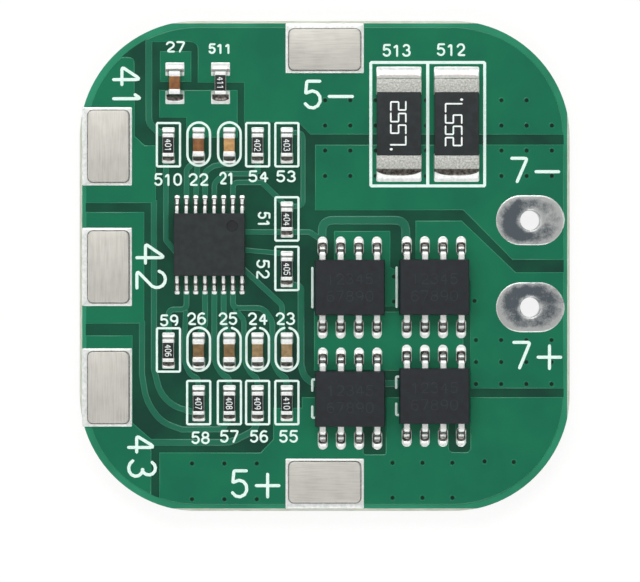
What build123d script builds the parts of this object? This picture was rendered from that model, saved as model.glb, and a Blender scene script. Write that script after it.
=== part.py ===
from build123d import *
import os

# A battery management board lying on its underside: X to the right, Y up the
# board, Z out of the component side, the origin in the middle of the underside.
os.makedirs("parts", exist_ok=True)

# Board
board_side = 34.4
corner_radius = 8.3
laminate_thickness = 1.47
copper_thickness = 0.07
mask_thickness = 0.03
score_width = 0.2
score_depth = 0.45
copper_setback = 0.45

# Copper widths and clearances
power_gap = 0.7
signal_width = 0.33
sense_width = 0.37
gate_width = 0.55
mask_clearance = 0.05

# Battery tabs on tinned pads
tab_length = 5.0
tab_width = 2.85
tab_thickness = 0.3
tab_corner = 0.25
tab_pad_length = 5.5
tab_pad_width = 3.5
tab_solder = 0.1
tab_inset = 2.05
tab_pad_inset = 1.95
tap_pitch = 8.45
tap_middle = -0.07

# Oval terminals for the two output wires
terminal_length = 4.85
terminal_width = 3.55
terminal_edge = 0.375
terminal_pitch = 6.1
terminal_middle = 0.15
wire_hole_radius = 0.7
barrel_wall = 0.16
terminal_tin = 0.06

# Chip resistors and capacitors
chip_length = 1.6
chip_width = 0.8
resistor_height = 0.45
capacitor_height = 0.75
end_plating = 0.03
resistor_band = 0.25
capacitor_band = 0.35
chip_pad_width = 0.9
chip_pad_inner = 0.45
chip_pad_outer = 1.27
wide_pad_width = 1.35
wide_pad_outer = 1.47
solder_film = 0.04
fillet_climb = 0.7
fillet_hollow = 0.15
lead_shoulder = 0.5

# Current sensing shunts
shunt_length = 6.3
shunt_width = 3.15
shunt_height = 0.6
shunt_band = 0.95
shunt_coat = 0.05
shunt_pad_inner = 1.9
shunt_pad_outer = 4.05

# Switching transistors in eight lead packages
mosfet_length = 4.9
mosfet_width = 3.9
mosfet_height = 1.5
mosfet_standoff = 0.12
mosfet_span = 6.0
mosfet_pitch = 1.27
mosfet_lead_width = 0.42
mosfet_lead_thickness = 0.2
mosfet_pad_width = 0.72
mosfet_pad_inner = 2.15
mosfet_pad_outer = 3.58

# Protection chip in a sixteen lead package
chip16_length = 5.0
chip16_width = 4.4
chip16_height = 1.0
chip16_standoff = 0.1
chip16_span = 6.4
chip16_pitch = 0.65
chip16_lead_width = 0.22
chip16_lead_thickness = 0.13
chip16_pad_width = 0.38
chip16_pad_inner = 2.4
chip16_pad_outer = 3.48
mould_draft = 7
dimple_radius = 0.4
dimple_depth = 0.06
dimple_inset = 0.9

# Where the components sit, from the middle of the board
row_top, row_sense, row_low, row_end = 12.8, 8.45, -5.93, -9.62
column_1, column_2, column_3, column_4, column_5 = -10.95, -8.83, -6.68, -4.7, -2.65
wide_resistor = (-7.3, row_top)
wide_capacitor = (-10.5, row_top)
boxed_resistors = [
    (column_1, row_sense),
    (column_4, row_sense),
    (column_5, row_sense),
    (column_5, 3.25),
    (column_5, -0.22),
    (column_1, row_low),
    (column_2, row_end),
    (column_3, row_end),
    (column_4, row_end),
    (column_5, row_end),
]
boxed_capacitors = [
    (column_2, row_sense),
    (column_3, row_sense),
    (column_2, row_low),
    (column_3, row_low),
    (column_4, row_low),
    (column_5, row_low),
]
resistors = boxed_resistors + [wide_resistor]
capacitors = boxed_capacitors + [wide_capacitor]
mosfets = [(1.75, -1.52), (7.65, -1.5), (1.77, -9.3), (7.65, -9.1)]
chip16 = (-8.06, 1.48)
shunts = [(5.2, 9.93), (9.24, 9.93)]

# Heights
laminate_bottom = mask_thickness
laminate_top = laminate_bottom + laminate_thickness
copper_top = laminate_top + copper_thickness
seat = copper_top + solder_film

# Places that follow from the board
half = board_side / 2
terminal_reach = half - terminal_edge - terminal_length / 2
terminals = [
    (terminal_reach, terminal_middle + terminal_pitch / 2),
    (terminal_reach, terminal_middle - terminal_pitch / 2),
]


def row(count, pitch):
    # Places along a row of equally spaced leads, about its middle.
    return [(index - (count - 1) / 2) * pitch for index in range(count)]


def pour(coat, *corners):
    # A copper area between its corners, moved out by its coat.
    with BuildSketch() as area:
        with BuildLine():
            Polyline(*corners, close=True)
        make_face()
        if coat:
            offset(amount=coat, kind=Kind.INTERSECTION)
    add(area.sketch)


def strip(middle, width):
    # The corners of a strip of even width along a middle line, mitred at its bends.
    points = [Vector(*point) for point in middle]
    sides = [(end - start).normalized().rotate(Axis.Z, 90) for start, end in zip(points, points[1:])]
    before, after = [sides[0]] + sides, sides + [sides[-1]]
    mitres = [(a + b) * (width / 2 / (1 + a.dot(b))) for a, b in zip(before, after)]
    left = [point + mitre for point, mitre in zip(points, mitres)]
    right = [point - mitre for point, mitre in zip(points, mitres)]
    return left + right[::-1]


def track(width, *points):
    # A copper track along its middle line.
    with BuildLine() as edge:
        Polyline(*strip(points, width), close=True)
    make_face(edge.line)


def end_pads(places, width, inner, outer):
    # Two pads for each component, above and below its middle.
    for x, y in places:
        with Locations((x, y + (inner + outer) / 2), (x, y - (inner + outer) / 2)):
            Rectangle(width, outer - inner)


def lead_pads(place, count, pitch, width, inner, outer):
    # Two rows of pads for the leads of a moulded package.
    for offset in row(count, pitch):
        end_pads([(place[0] + offset, place[1])], width, inner, outer)


def component_pads(margin):
    # Every soldered pad, each side moved out by the margin.
    end_pads(
        boxed_resistors + boxed_capacitors,
        chip_pad_width + 2 * margin,
        chip_pad_inner - margin,
        chip_pad_outer + margin,
    )
    end_pads(
        [wide_resistor, wide_capacitor],
        wide_pad_width + 2 * margin,
        chip_pad_inner - margin,
        wide_pad_outer + margin,
    )
    end_pads(
        shunts,
        shunt_width + 2 * margin,
        shunt_pad_inner - margin,
        shunt_pad_outer + margin,
    )
    for place in mosfets:
        lead_pads(
            place,
            4,
            mosfet_pitch,
            mosfet_pad_width + 2 * margin,
            mosfet_pad_inner - margin,
            mosfet_pad_outer + margin,
        )
    lead_pads(
        chip16,
        8,
        chip16_pitch,
        chip16_pad_width + 2 * margin,
        chip16_pad_inner - margin,
        chip16_pad_outer + margin,
    )


def tab_places(inset):
    # Three taps along the left edge, then the negative and the positive tab.
    return [
        Location((inset - half, tap_middle + tap_pitch, 0), (0, 0, 90)),
        Location((inset - half, tap_middle, 0), (0, 0, 90)),
        Location((inset - half, tap_middle - tap_pitch, 0), (0, 0, 90)),
        Location((0, half - inset, 0)),
        Location((0, inset - half, 0)),
    ]


def tab_pads():
    with Locations(*tab_places(tab_pad_inset)):
        Rectangle(tab_pad_length, tab_pad_width)


def terminal_ovals():
    with Locations(*terminals):
        SlotOverall(terminal_length, terminal_width)


def board_outline(setback, mode=Mode.ADD):
    # The rounded square of the board, each side moved in by the setback.
    side = board_side - 2 * setback
    RectangleRounded(side, side, corner_radius - setback, mode=mode)


def between_scores(mode=Mode.INTERSECT):
    # Keeps what lies between the four scored edges.
    side = board_side - 2 * score_width
    Rectangle(side, side, mode=mode)


# Copper areas, named after what they carry
rim = half
negative_left = -12.53
negative_bottom = 9.2
negative_strip = 1.5
bridge_top = 12.33
tap_right = -11.83
tap_inner = -13.32
tap_2_right = -12.65
tap_1_bottom = 4.4
tap_2_top = 3.78
tap_2_bottom = -4.05
tap_3_top = -4.87
output_minus_bottom = 3.9
output_plus_top = 3.18
output_plus_bottom = -8.6
positive_top = -9.2
positive_shoulder = -13.08
common_top, common_bottom = -3.2, -7.35
common_left, common_right = -0.75, 9.72

def power_areas(coat):
    with BuildSketch() as areas:
        # Battery negative, with its strip round the upper left corner
        pour(
            coat,
            (rim, negative_bottom),
            (rim, rim),
            (negative_left, rim),
            (negative_left, rim - negative_strip),
            (-8.9, rim - negative_strip),
            (-8.9, 12.85),
            (-5.65, 12.85),
            (-5.65, 10.05),
            (-1.85, 10.05),
            (-1.0, negative_bottom),
        )
        # The two areas under the pair of chips in the upper left corner
        pour(coat, (-11.55, 12.9), (-9.35, 12.9), (-9.35, 15.05), (-11.55, 15.05))
        pour(
            coat,
            (-11.6, bridge_top),
            (-11.6, 10.4),
            (-9.7, 10.4),
            (-9.7, 9.0),
            (-6.1, 9.0),
            (-6.1, bridge_top),
        )
        # The three taps along the left edge
        pour(
            coat,
            (-rim, tap_1_bottom),
            (tap_right, tap_1_bottom),
            (tap_right, 8.45),
            (-12.6, 8.45),
            (tap_inner, 9.1),
            (tap_inner, 14.65),
            (-rim, 14.65),
        )
        pour(
            coat,
            (-rim, tap_2_top),
            (-rim, tap_2_bottom),
            (tap_2_right, tap_2_bottom),
            (tap_2_right, tap_2_top),
        )
        pour(
            coat,
            (-rim, tap_3_top),
            (-rim, -rim),
            (-12.15, -rim),
            (-12.15, -12.15),
            (tap_inner - 0.15, -11.0),
            (tap_inner - 0.15, tap_3_top),
        )
        # Output negative
        pour(
            coat,
            (-0.68, output_minus_bottom),
            (9.7, output_minus_bottom),
            (13.15, 0.42),
            (rim, 0.42),
            (rim, negative_bottom - power_gap),
            (-0.68, negative_bottom - power_gap),
        )
        # Output positive, from the second transistor to the oval terminal
        pour(
            coat,
            (6.36, output_plus_top),
            (6.36, -1.0),
            (10.2, -1.0),
            (10.2, output_plus_bottom),
            (rim, output_plus_bottom),
            (rim, -0.45),
            (13.4, -0.45),
            (9.6, output_plus_top),
        )
        # Battery positive, along the lower edge and up between the transistors
        pour(
            coat,
            (-11.6, -rim),
            (rim, -rim),
            (rim, positive_top),
            (-1.6, positive_top),
            (-1.6, -9.95),
            (-3.62, -9.95),
            (-3.62, -12.15),
            (-4.5, positive_shoulder),
            (-11.6, positive_shoulder),
        )
        with Locations((3.5, -11.35)):
            Rectangle(1.5 - 2 * coat, 3.7 - 2 * coat, mode=Mode.SUBTRACT)
        with Locations((9.43, -11.0)):
            Rectangle(1.55 - 2 * coat, 4.1 - 2 * coat, mode=Mode.SUBTRACT)
        # The drains of the first transistor, with a strip beside its body
        pour(
            coat,
            (0.65, 2.45),
            (0.65, -2.85),
            (5.1, -2.85),
            (5.1, -0.35),
            (4.6, -0.1),
            (4.6, 2.45),
        )
        # What all four transistors share
        pour(
            coat,
            (common_left, common_top),
            (common_left, common_bottom),
            (common_right, common_bottom),
            (common_right, common_top),
        )
        board_outline(copper_setback - coat, Mode.INTERSECT)
    add(areas.sketch)


def signal_tracks(coat):
    # Taps to their filter resistors
    track(
        0.42 + 2 * coat,
        (-12.33, 15.9),
        (-12.33, 10.0),
        (-11.6, 9.35),
        (-10.95, 9.35),
    )
    track(
        sense_width + 2 * coat,
        (-11.98, tap_1_bottom + 0.2),
        (-11.98, -8.0),
        (-10.5, -9.95),
        (-8.83, -10.35),
    )
    track(
        sense_width + 2 * coat,
        (-12.83, tap_2_bottom + 0.2),
        (-12.83, -8.6),
        (-11.6, -10.95),
        (-10.2, -11.42),
        (-7.2, -11.42),
        (-6.68, -10.7),
    )
    track(
        0.42 + 2 * coat,
        (-12.3, -12.37),
        (-6.6, -12.37),
        (-4.95, -11.55),
        (-4.7, -10.7),
    )
    track(signal_width + 2 * coat, (-11.13, 7.6), (-11.13, 1.8), (-10.2, 0.7))
    # Upper leads of the protection chip
    track(signal_width + 2 * coat, (-9.685, 4.7), (-9.685, 6.8), (-8.9, 7.5))
    track(signal_width + 2 * coat, (-9.035, 4.7), (-8.9, 7.5))
    track(
        signal_width + 2 * coat,
        (-8.385, 4.7),
        (-8.385, 6.6),
        (-7.8, 7.0),
        (-6.68, 7.2),
    )
    track(
        signal_width + 2 * coat,
        (-7.735, 4.7),
        (-7.735, 5.8),
        (-7.0, 6.46),
        (-4.7, 6.46),
    )
    track(signal_width + 2 * coat, (-4.7, 6.46), (-4.7, 7.4))
    track(
        signal_width + 2 * coat,
        (-6.435, 4.7),
        (-6.435, 5.85),
        (-4.4, 5.85),
        (-2.9, 4.4),
    )
    # Sense lines beside the transistors
    track(0.3 + 2 * coat, (-2.65, 9.35), (-1.52, 9.35), (-1.52, 4.25), (-2.65, 4.1))
    track(signal_width + 2 * coat, (-6.6, 2.38), (-1.05, 2.38), (-0.2, 1.8))
    track(0.3 + 2 * coat, (-6.6, 1.2), (-2.65, 0.85))
    track(signal_width + 2 * coat, (-6.2, 0.25), (-2.98, -2.75), (-2.98, -4.9))
    # Gate lines
    track(
        gate_width + 2 * coat,
        (-0.18, 1.6),
        (-0.18, 3.2),
        (5.68, 3.2),
        (5.68, 1.6),
    )
    track(
        0.42 + 2 * coat,
        (-2.65, -1.2),
        (-1.66, -1.5),
        (-1.66, -7.4),
        (-0.9, -8.25),
        (9.4, -8.25),
    )
    track(0.42 + 2 * coat, (3.62, -8.25), (3.62, -11.9))
    track(0.42 + 2 * coat, (9.4, -8.04), (9.4, -11.9))
    # Lower leads of the protection chip
    track(
        0.35 + 2 * coat,
        (-9.685, -1.6),
        (-9.685, -3.05),
        (-10.93, -3.05),
        (-10.93, -4.9),
    )
    track(
        0.3 + 2 * coat,
        (-9.75, -3.1),
        (-9.86, -7.1),
        (-9.3, -7.75),
        (-8.83, -8.6),
    )
    track(0.35 + 2 * coat, (-8.385, -1.6), (-8.385, -4.1), (-8.83, -4.9))
    track(0.35 + 2 * coat, (-7.735, -1.6), (-7.735, -7.0), (-6.68, -8.5))
    track(0.35 + 2 * coat, (-7.085, -1.6), (-7.085, -3.9), (-6.68, -4.9))
    track(
        0.35 + 2 * coat,
        (-6.435, -1.6),
        (-6.435, -2.95),
        (-4.3, -2.95),
        (-3.67, -3.9),
        (-3.67, -7.1),
        (-2.65, -8.5),
    )
    track(0.3 + 2 * coat, (-6.3, -3.0), (-5.66, -3.8), (-5.66, -7.1), (-4.7, -8.5))


with BuildSketch() as oval_pads:
    terminal_ovals()

# Everything etched in the upper copper
with BuildSketch() as upper_layout:
    power_areas(0)
    signal_tracks(0)
    component_pads(0)
    tab_pads()
    board_outline(0, Mode.INTERSECT)
    between_scores()
    add(oval_pads.sketch, mode=Mode.SUBTRACT)

with BuildSketch() as windows:
    component_pads(mask_clearance)
    tab_pads()
    terminal_ovals()

with BuildSketch() as coated_copper:
    power_areas(mask_thickness)
    signal_tracks(mask_thickness)
    component_pads(mask_thickness)
    board_outline(0, Mode.INTERSECT)
    between_scores()
    add(windows.sketch, mode=Mode.SUBTRACT)

def scored_section():
    # The laminate from one side to the other, its corners cut back by the scored grooves.
    low, high = laminate_bottom, laminate_top
    with BuildLine() as section:
        Polyline(
            (half - score_width, low),
            (half, low + score_depth),
            (half, high - score_depth),
            (half - score_width, high),
            (score_width - half, high),
            (-half, high - score_depth),
            (-half, low + score_depth),
            (score_width - half, low),
            close=True,
        )
    make_face(section.line)


# Laminate, its straight edges snapped off along the grooves
with BuildPart() as laminate:
    with BuildSketch(Plane.XY.offset(laminate_bottom)):
        board_outline(0)
    extrude(amount=laminate_thickness)
    with BuildSketch(Plane.XZ):
        scored_section()
    extrude(amount=board_side, both=True, mode=Mode.INTERSECT)
    with BuildSketch(Plane.YZ):
        scored_section()
    extrude(amount=board_side, both=True, mode=Mode.INTERSECT)
    with BuildSketch(Plane.XY.offset(laminate_bottom)):
        with Locations(*terminals):
            Circle(wire_hole_radius + barrel_wall)
    extrude(amount=laminate_thickness, mode=Mode.SUBTRACT)
laminate.part.label = "laminate"
export_step(laminate.part, "parts/laminate.step")

with BuildPart() as top_copper:
    with BuildSketch(Plane.XY.offset(laminate_top)):
        add(upper_layout.sketch)
    extrude(amount=copper_thickness)
top_copper.part.label = "top_copper"
export_step(top_copper.part, "parts/top_copper.step")

# The upper mask is a thin coat that steps up over the copper below it
with BuildPart() as top_solder_mask:
    with BuildSketch(Plane.XY.offset(laminate_top)):
        board_outline(0)
        between_scores()
        add(windows.sketch, mode=Mode.SUBTRACT)
    extrude(amount=mask_thickness)
    with BuildSketch(Plane.XY.offset(laminate_top)):
        add(coated_copper.sketch)
    extrude(amount=copper_thickness + mask_thickness)
    with BuildSketch(Plane.XY.offset(laminate_top)):
        add(upper_layout.sketch)
    extrude(amount=copper_thickness, mode=Mode.SUBTRACT)
top_solder_mask.part.label = "top_solder_mask"
export_step(top_solder_mask.part, "parts/top_solder_mask.step")

# The lower mask is an even coat on the flat side that the board lies on
with BuildPart() as bottom_solder_mask:
    with BuildSketch():
        board_outline(0)
        between_scores()
        with Locations(*terminals):
            Circle(wire_hole_radius + barrel_wall, mode=Mode.SUBTRACT)
    extrude(amount=mask_thickness)
bottom_solder_mask.part.label = "bottom_solder_mask"
export_step(bottom_solder_mask.part, "parts/bottom_solder_mask.step")

# Oval terminals, plated through the board
terminal_names = ["output_minus_terminal", "output_plus_terminal"]
for name, (x, y) in zip(terminal_names, terminals):
    with BuildPart() as terminal:
        with BuildSketch(Plane((x, y, 0))):
            Circle(wire_hole_radius + barrel_wall)
        extrude(amount=laminate_top)
        with BuildSketch(Plane((x, y, laminate_top))):
            SlotOverall(terminal_length, terminal_width)
        extrude(amount=copper_thickness + terminal_tin)
        with BuildSketch():
            with Locations((x, y)):
                Circle(wire_hole_radius)
        extrude(amount=copper_top + terminal_tin, mode=Mode.SUBTRACT)
    terminal.part.label = name
    export_step(terminal.part, f"parts/{name}.step")

# Tabs for the cell leads, each on its own bed of solder
with BuildPart() as tab_solder_beds:
    with BuildSketch(Plane.XY.offset(copper_top)):
        tab_pads()
    extrude(amount=tab_solder)
tab_solder_beds.part.label = "tab_solder"
export_step(tab_solder_beds.part, "parts/tab_solder.step")

tab_names = ["tap_1_tab", "tap_2_tab", "tap_3_tab", "negative_tab", "positive_tab"]
for name, place in zip(tab_names, tab_places(tab_inset)):
    with BuildPart() as tab:
        with BuildSketch(Plane.XY.offset(copper_top + tab_solder)) as outline:
            with Locations(place):
                Rectangle(tab_length, tab_width)
            chamfer(outline.vertices(), tab_corner)
        extrude(amount=tab_thickness)
    tab.part.label = name
    export_step(tab.part, f"parts/{name}.step")


def joint_profile(inner, outer, toe, rise):
    # The section of a solder joint: a film under the foot, and a hollow fillet beyond its toe.
    edge = solder_film / 2
    reach, climb = outer - toe, rise - edge
    hollow = (toe + reach / 2 - fillet_hollow * climb, edge + climb / 2 - fillet_hollow * reach)
    with BuildLine() as section:
        Polyline(
            (outer, edge),
            (outer, 0),
            (inner, 0),
            (inner, solder_film),
            (toe, solder_film),
            (toe, rise),
            hollow,
            close=True,
        )
    make_face(section.line)


def joint_planes(places, height):
    # The section planes of a pair of joints, their first axis pointing away from the component.
    return [
        Plane(origin=(x, y, height), x_dir=(0, side, 0), z_dir=(side, 0, 0))
        for x, y in places
        for side in (1, -1)
    ]


def lead_places(place, count, pitch):
    return [(place[0] + offset, place[1]) for offset in row(count, pitch)]


def block(places, width, length, height, bottom, mode=Mode.ADD):
    # A plain block on each place.
    with Locations(*[(x, y, bottom) for x, y in places]):
        Box(width, length, height, align=(Align.CENTER, Align.CENTER, Align.MIN), mode=mode)


def end_caps(places, width, length, height, band):
    # Plated ends that wrap round the body of a chip.
    reach = (length - band) / 2
    ends = [(x, y + side * reach) for x, y in places for side in (1, -1)]
    block(ends, width, band, height, seat)
    chip_bodies(places, width, length, height, Mode.SUBTRACT)


def chip_bodies(places, width, length, height, mode=Mode.ADD):
    block(
        places,
        width - 2 * end_plating,
        length - 2 * end_plating,
        height - 2 * end_plating,
        seat + end_plating,
        mode,
    )


# Chip resistors and capacitors
for number, place in enumerate(resistors, start=1):
    with BuildPart() as resistor:
        chip_bodies([place], chip_width, chip_length, resistor_height)
    resistor.part.label = f"resistor_{number}"
    export_step(resistor.part, f"parts/resistor_{number}.step")

for number, place in enumerate(capacitors, start=1):
    with BuildPart() as capacitor:
        chip_bodies([place], chip_width, chip_length, capacitor_height)
    capacitor.part.label = f"capacitor_{number}"
    export_step(capacitor.part, f"parts/capacitor_{number}.step")

with BuildPart() as resistor_end_caps:
    end_caps(resistors, chip_width, chip_length, resistor_height, resistor_band)
resistor_end_caps.part.label = "resistor_end_caps"
export_step(resistor_end_caps.part, "parts/resistor_end_caps.step")

with BuildPart() as capacitor_end_caps:
    end_caps(capacitors, chip_width, chip_length, capacitor_height, capacitor_band)
capacitor_end_caps.part.label = "capacitor_end_caps"
export_step(capacitor_end_caps.part, "parts/capacitor_end_caps.step")

with BuildPart() as chip_solder:
    for places, width, outer, rise in [
        (boxed_resistors, chip_pad_width, chip_pad_outer, resistor_height),
        (boxed_capacitors, chip_pad_width, chip_pad_outer, capacitor_height),
        ([wide_resistor], wide_pad_width, wide_pad_outer, resistor_height),
        ([wide_capacitor], wide_pad_width, wide_pad_outer, capacitor_height),
    ]:
        with BuildSketch(*joint_planes(places, copper_top)):
            joint_profile(chip_pad_inner, outer, chip_length / 2, solder_film + fillet_climb * rise)
        extrude(amount=width / 2, both=True)
chip_solder.part.label = "chip_solder"
export_step(chip_solder.part, "parts/chip_solder.step")

# Shunts, with a dark coat between their plated ends
for number, place in enumerate(shunts, start=1):
    with BuildPart() as shunt:
        chip_bodies([place], shunt_width, shunt_length, shunt_height)
        block(
            [place],
            shunt_width - 2 * end_plating,
            shunt_length - 2 * shunt_band,
            shunt_coat,
            seat + shunt_height - end_plating,
        )
    shunt.part.label = f"shunt_{number}"
    export_step(shunt.part, f"parts/shunt_{number}.step")

with BuildPart() as shunt_end_caps:
    end_caps(shunts, shunt_width, shunt_length, shunt_height, shunt_band)
shunt_end_caps.part.label = "shunt_end_caps"
export_step(shunt_end_caps.part, "parts/shunt_end_caps.step")

with BuildPart() as shunt_solder:
    with BuildSketch(*joint_planes(shunts, copper_top)):
        joint_profile(
            shunt_pad_inner,
            shunt_pad_outer,
            shunt_length / 2,
            solder_film + fillet_climb * shunt_height,
        )
    extrude(amount=shunt_width / 2, both=True)
shunt_solder.part.label = "shunt_solder"
export_step(shunt_solder.part, "parts/shunt_solder.step")

def moulded_body(place, length, width, height, standoff, lead_thickness):
    # A moulded package: an upright band as thick as the leads, with drafted halves above and below.
    band_bottom = lead_height(height, standoff) - lead_thickness / 2
    band_top = band_bottom + lead_thickness
    with BuildSketch(Plane((*place, band_bottom))) as band:
        Rectangle(length, width)
    extrude(band.sketch, amount=lead_thickness)
    with BuildSketch(Plane((*place, band_top))) as upper:
        Rectangle(length, width)
    extrude(upper.sketch, amount=seat + height - band_top, taper=mould_draft)
    with BuildSketch(Plane((*place, band_bottom), x_dir=(1, 0, 0), z_dir=(0, 0, -1))) as lower:
        Rectangle(length, width)
    extrude(lower.sketch, amount=band_bottom - seat - standoff, taper=mould_draft)


def lead_height(height, standoff):
    # The middle of a package, where its leads come out.
    return seat + (height + standoff) / 2


def gull_wings(place, count, pitch, body_width, span, height, thickness, width):
    # Leads that leave the body level, bend down and lie flat on their pads.
    top = height - seat
    foot = thickness / 2
    shoulder = body_width / 2 + lead_shoulder * (span - body_width) / 2
    middle = [(body_width / 2, top), (shoulder, top), (shoulder + foot, foot), (span / 2, foot)]
    with BuildSketch(*joint_planes(lead_places(place, count, pitch), seat)) as profiles:
        with BuildLine():
            Polyline(*strip(middle, thickness), close=True)
        make_face()
    extrude(profiles.sketch, amount=width / 2, both=True)


# Switching transistors
for number, place in enumerate(mosfets, start=1):
    with BuildPart() as mosfet:
        moulded_body(
            place,
            mosfet_length,
            mosfet_width,
            mosfet_height,
            mosfet_standoff,
            mosfet_lead_thickness,
        )
    mosfet.part.label = f"mosfet_{number}"
    export_step(mosfet.part, f"parts/mosfet_{number}.step")

    with BuildPart() as mosfet_leads:
        gull_wings(
            place,
            4,
            mosfet_pitch,
            mosfet_width,
            mosfet_span,
            lead_height(mosfet_height, mosfet_standoff),
            mosfet_lead_thickness,
            mosfet_lead_width,
        )
    mosfet_leads.part.label = f"mosfet_{number}_leads"
    export_step(mosfet_leads.part, f"parts/mosfet_{number}_leads.step")

with BuildPart() as mosfet_solder:
    for place in mosfets:
        with BuildSketch(*joint_planes(lead_places(place, 4, mosfet_pitch), copper_top)):
            joint_profile(
                mosfet_pad_inner,
                mosfet_pad_outer,
                mosfet_span / 2,
                solder_film + fillet_climb * mosfet_lead_thickness,
            )
        extrude(amount=mosfet_pad_width / 2, both=True)
mosfet_solder.part.label = "mosfet_solder"
export_step(mosfet_solder.part, "parts/mosfet_solder.step")

# Protection chip
with BuildPart() as protection_chip:
    moulded_body(
        chip16,
        chip16_length,
        chip16_width,
        chip16_height,
        chip16_standoff,
        chip16_lead_thickness,
    )
    with BuildSketch(Plane.XY.offset(seat + chip16_height)):
        with Locations(
            (
                chip16[0] + chip16_length / 2 - dimple_inset,
                chip16[1] + chip16_width / 2 - dimple_inset,
            )
        ):
            Circle(dimple_radius)
    extrude(amount=-dimple_depth, mode=Mode.SUBTRACT)
protection_chip.part.label = "protection_chip"
export_step(protection_chip.part, "parts/protection_chip.step")

with BuildPart() as protection_chip_leads:
    gull_wings(
        chip16,
        8,
        chip16_pitch,
        chip16_width,
        chip16_span,
        lead_height(chip16_height, chip16_standoff),
        chip16_lead_thickness,
        chip16_lead_width,
    )
protection_chip_leads.part.label = "protection_chip_leads"
export_step(protection_chip_leads.part, "parts/protection_chip_leads.step")

with BuildPart() as protection_chip_solder:
    with BuildSketch(*joint_planes(lead_places(chip16, 8, chip16_pitch), copper_top)):
        joint_profile(
            chip16_pad_inner,
            chip16_pad_outer,
            chip16_span / 2,
            solder_film + fillet_climb * chip16_lead_thickness,
        )
    extrude(amount=chip16_pad_width / 2, both=True)
protection_chip_solder.part.label = "protection_chip_solder"
export_step(protection_chip_solder.part, "parts/protection_chip_solder.step")
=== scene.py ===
import bpy
import math
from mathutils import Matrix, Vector


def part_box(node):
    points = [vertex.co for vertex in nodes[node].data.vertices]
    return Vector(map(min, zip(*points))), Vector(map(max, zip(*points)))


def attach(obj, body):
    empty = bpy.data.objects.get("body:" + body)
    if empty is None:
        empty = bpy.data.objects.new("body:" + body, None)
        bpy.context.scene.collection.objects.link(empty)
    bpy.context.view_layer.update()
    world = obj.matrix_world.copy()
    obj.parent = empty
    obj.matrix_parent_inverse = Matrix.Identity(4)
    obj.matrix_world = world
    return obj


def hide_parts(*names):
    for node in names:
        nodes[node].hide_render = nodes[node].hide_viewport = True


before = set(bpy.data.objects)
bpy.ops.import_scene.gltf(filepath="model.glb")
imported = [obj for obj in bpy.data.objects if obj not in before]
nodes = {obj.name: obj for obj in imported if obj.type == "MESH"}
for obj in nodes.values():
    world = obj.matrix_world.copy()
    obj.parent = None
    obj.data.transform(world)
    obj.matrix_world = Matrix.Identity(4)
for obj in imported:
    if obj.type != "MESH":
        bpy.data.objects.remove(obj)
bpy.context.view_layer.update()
print("frame loaded,", len(nodes), "nodes")

# Plain lengths below are millimetres, and become metres where a mesh is made.
mm = 0.001

board = {
    "half": 17.2,
    "cornerRadius": 8.3,
    "scoreWidth": 0.2,
    "copperSetback": 0.45,
    "laminateTop": 1.50,
    "bareMaskTop": 1.53,
    "copperMaskTop": 1.60,
    "copperTop": 1.57,
    "maskShoulder": 0.07,  # how far the mask slopes down beside a copper edge
    "seat": 1.61,
}


# Small makers of meshes

def place(node):
    # middle, size, floor and top of a node, in millimetres
    low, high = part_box(node)
    low, high = low / mm, high / mm
    middle = (low + high) / 2
    return {
        "x": middle.x, "y": middle.y, "sx": high.x - low.x, "sy": high.y - low.y,
        "low": low.z, "high": high.z,
    }


def middleOf(node):
    spot = place(node)
    return spot["x"], spot["y"]


def newShape():
    return {"points": [], "faces": [], "marks": []}


def addLoft(shape, rings, mark=0, closed=False, capped=True):
    # rings of the same number of points, joined by quads
    first = len(shape["points"])
    count = len(rings[0])
    for ring in rings:
        shape["points"] += [tuple(point) for point in ring]
    spans = len(rings) if closed else len(rings) - 1
    for level in range(spans):
        here, above = first + level * count, first + (level + 1) % len(rings) * count
        for step in range(count):
            after = (step + 1) % count
            shape["faces"].append((here + step, here + after, above + after, above + step))
            shape["marks"].append(mark)
    if capped and not closed:
        shape["faces"].append(tuple(first + step for step in reversed(range(count))))
        shape["faces"].append(tuple(first + (len(rings) - 1) * count + step for step in range(count)))
        shape["marks"] += [mark, mark]


def addCap(shape, ring, mark, under=False):
    # a face over a ring that the shape already has
    first = shape["points"].index(ring[0])
    face = tuple(range(first, first + len(ring)))
    shape["faces"].append(face[::-1] if under else face)
    shape["marks"].append(mark)


def finishShape(shape, name, materials, replaced=(), smoothAngle=35):
    mesh = bpy.data.meshes.new(name)
    mesh.from_pydata([(x * mm, y * mm, z * mm) for x, y, z in shape["points"]], [], shape["faces"])
    for material in materials:
        mesh.materials.append(material)
    mesh.polygons.foreach_set("material_index", shape["marks"])
    mesh.shade_smooth()
    mesh.set_sharp_from_angle(angle=math.radians(smoothAngle))
    mesh.update()
    piece = bpy.data.objects.new(name, mesh)
    bpy.context.scene.collection.objects.link(piece)
    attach(piece, "root")
    if replaced:
        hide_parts(*replaced)
    return piece


def roundedRing(x, y, sx, sy, radius, z, steps=5):
    # a rectangle with rounded corners, anticlockwise
    radius = min(radius, sx / 2, sy / 2)
    ring = []
    for quarter, (signX, signY) in enumerate([(1, 1), (-1, 1), (-1, -1), (1, -1)]):
        for step in range(steps + 1):
            angle = math.pi / 2 * (quarter + step / steps)
            ring.append((
                x + signX * (sx / 2 - radius) + radius * math.cos(angle),
                y + signY * (sy / 2 - radius) + radius * math.sin(angle),
                z,
            ))
    return ring


def flatRing(*measures):
    return [point[:2] for point in roundedRing(*measures)]


def circle(x, y, radius, z, steps=5):
    return roundedRing(x, y, 2 * radius, 2 * radius, radius, z, steps)


def insetRing(x, y, sx, sy, inset, radius, z, steps=5):
    return roundedRing(x, y, sx - 2 * inset, sy - 2 * inset, radius, z, steps)


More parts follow.
